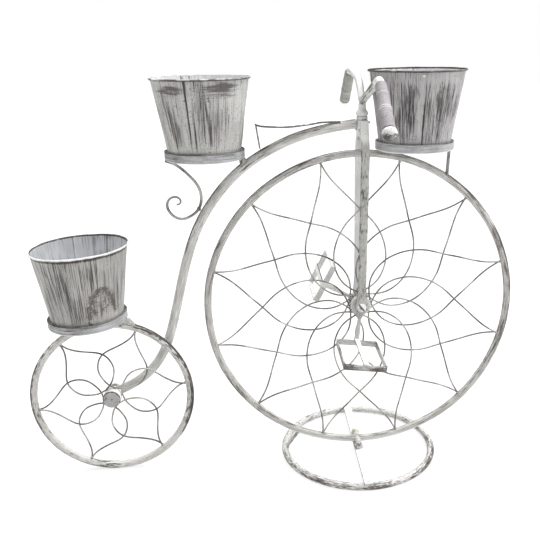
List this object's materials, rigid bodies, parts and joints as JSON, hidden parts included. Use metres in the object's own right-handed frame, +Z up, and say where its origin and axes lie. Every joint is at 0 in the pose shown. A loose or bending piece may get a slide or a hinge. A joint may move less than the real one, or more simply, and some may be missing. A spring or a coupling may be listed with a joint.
{
  "type": "plant stand",
  "caption": "Free-standing metal plant stand shaped like a high-wheel bicycle, with round trays that hold lift-out flower pots, a turning handlebar and stiff pedals.",
  "frame": {"origin": "middle of the footprint's bounding box, on the floor", "axes": "+X towards the big wheel's front, along the stand's length; +Y away from the viewer, across it; +Z up"},
  "size_m": [0.75, 0.419, 0.6099],
  "materials": {
    "frame_paint": "off-white distressed paint with dark scuffs",
    "spoke_paint": "thin off-white paint worn to dark wire",
    "pot_paint": "brushed off-white paint with vertical streaks",
    "tray_paint": "brushed light grey paint with scuffed edges",
    "hardware": "dull, partly painted over",
    "grip": "ribbed sleeve, dry-brushed with paint"
  },
  "bodies": {
    "stand": {"front_rim": "frame_paint", "front_spokes_left_hand": "spoke_paint", "front_spokes_right_hand": "spoke_paint", "front_hub": "frame_paint", "axle_bolt": "hardware", "axle_nut": "hardware", "axle_washers": "hardware", "fork_blade_near": "frame_paint", "fork_blade_far": "frame_paint", "head_tube": "frame_paint", "stem_set_screw": "hardware", "backbone_tube": "frame_paint", "saddle_plate": "frame_paint", "saddle_leg": "frame_paint", "rear_rim": "frame_paint", "rear_spokes_left_hand": "spoke_paint", "rear_spokes_right_hand": "spoke_paint", "rear_hub": "frame_paint", "top_tray": "tray_paint", "front_tray": "tray_paint", "rear_tray": "tray_paint", "scroll_bracket": "frame_paint", "top_tray_lug": "frame_paint", "front_tray_strut": "frame_paint", "rear_tray_gusset": "frame_paint", "base_ring": "frame_paint", "base_cross_strip": "frame_paint", "base_strut_left": "frame_paint", "base_strut_right": "frame_paint", "rim_clip_tabs": "frame_paint", "clip_spacers": "hardware", "clip_bolt": "hardware", "clip_nut": "hardware"},
    "top_pot": {"top_pot_wall": "pot_paint", "top_pot_floor": "pot_paint", "top_pot_rim_wire": "pot_paint"},
    "front_pot": {"front_pot_wall": "pot_paint", "front_pot_floor": "pot_paint", "front_pot_rim_wire": "pot_paint"},
    "rear_pot": {"rear_pot_wall": "pot_paint", "rear_pot_floor": "pot_paint", "rear_pot_rim_wire": "pot_paint"},
    "handlebar": {"handlebar_stem": "frame_paint", "handlebar_bar": "frame_paint", "grip_near": "grip", "grip_far": "grip", "grip_cap_near": "grip", "grip_cap_far": "grip"},
    "near_crank": {"crank_near": "frame_paint", "pedal_frame_near": "frame_paint"},
    "far_crank": {"crank_far": "frame_paint", "pedal_frame_far": "frame_paint"}
  },
  "joints": [
    {"name": "top_pot_lift", "type": "slide", "parent": "stand", "child": "top_pot", "axis": [0, 0, 1], "range_m": [0, 0.13]},
    {"name": "front_pot_lift", "type": "slide", "parent": "stand", "child": "front_pot", "axis": [0, 0, 1], "range_m": [0, 0.13]},
    {"name": "rear_pot_lift", "type": "slide", "parent": "stand", "child": "rear_pot", "axis": [-0.0375, 0, 0.9993], "range_m": [0, 0.13]},
    {"name": "handlebar_turn", "type": "hinge", "parent": "stand", "child": "handlebar", "pos_m": [0.1372, 0, 0.54], "axis": [0, 0, 1], "range_deg": [-18, 18]},
    {"name": "near_crank_turn", "type": "hinge", "parent": "stand", "child": "near_crank", "pos_m": [0.135, 0, 0.2535], "axis": [0, 1, 0], "range_deg": [-145, 130]},
    {"name": "far_crank_turn", "type": "hinge", "parent": "stand", "child": "far_crank", "pos_m": [0.135, 0, 0.2535], "axis": [0, 1, 0], "range_deg": [-254, 18]}
  ]
}
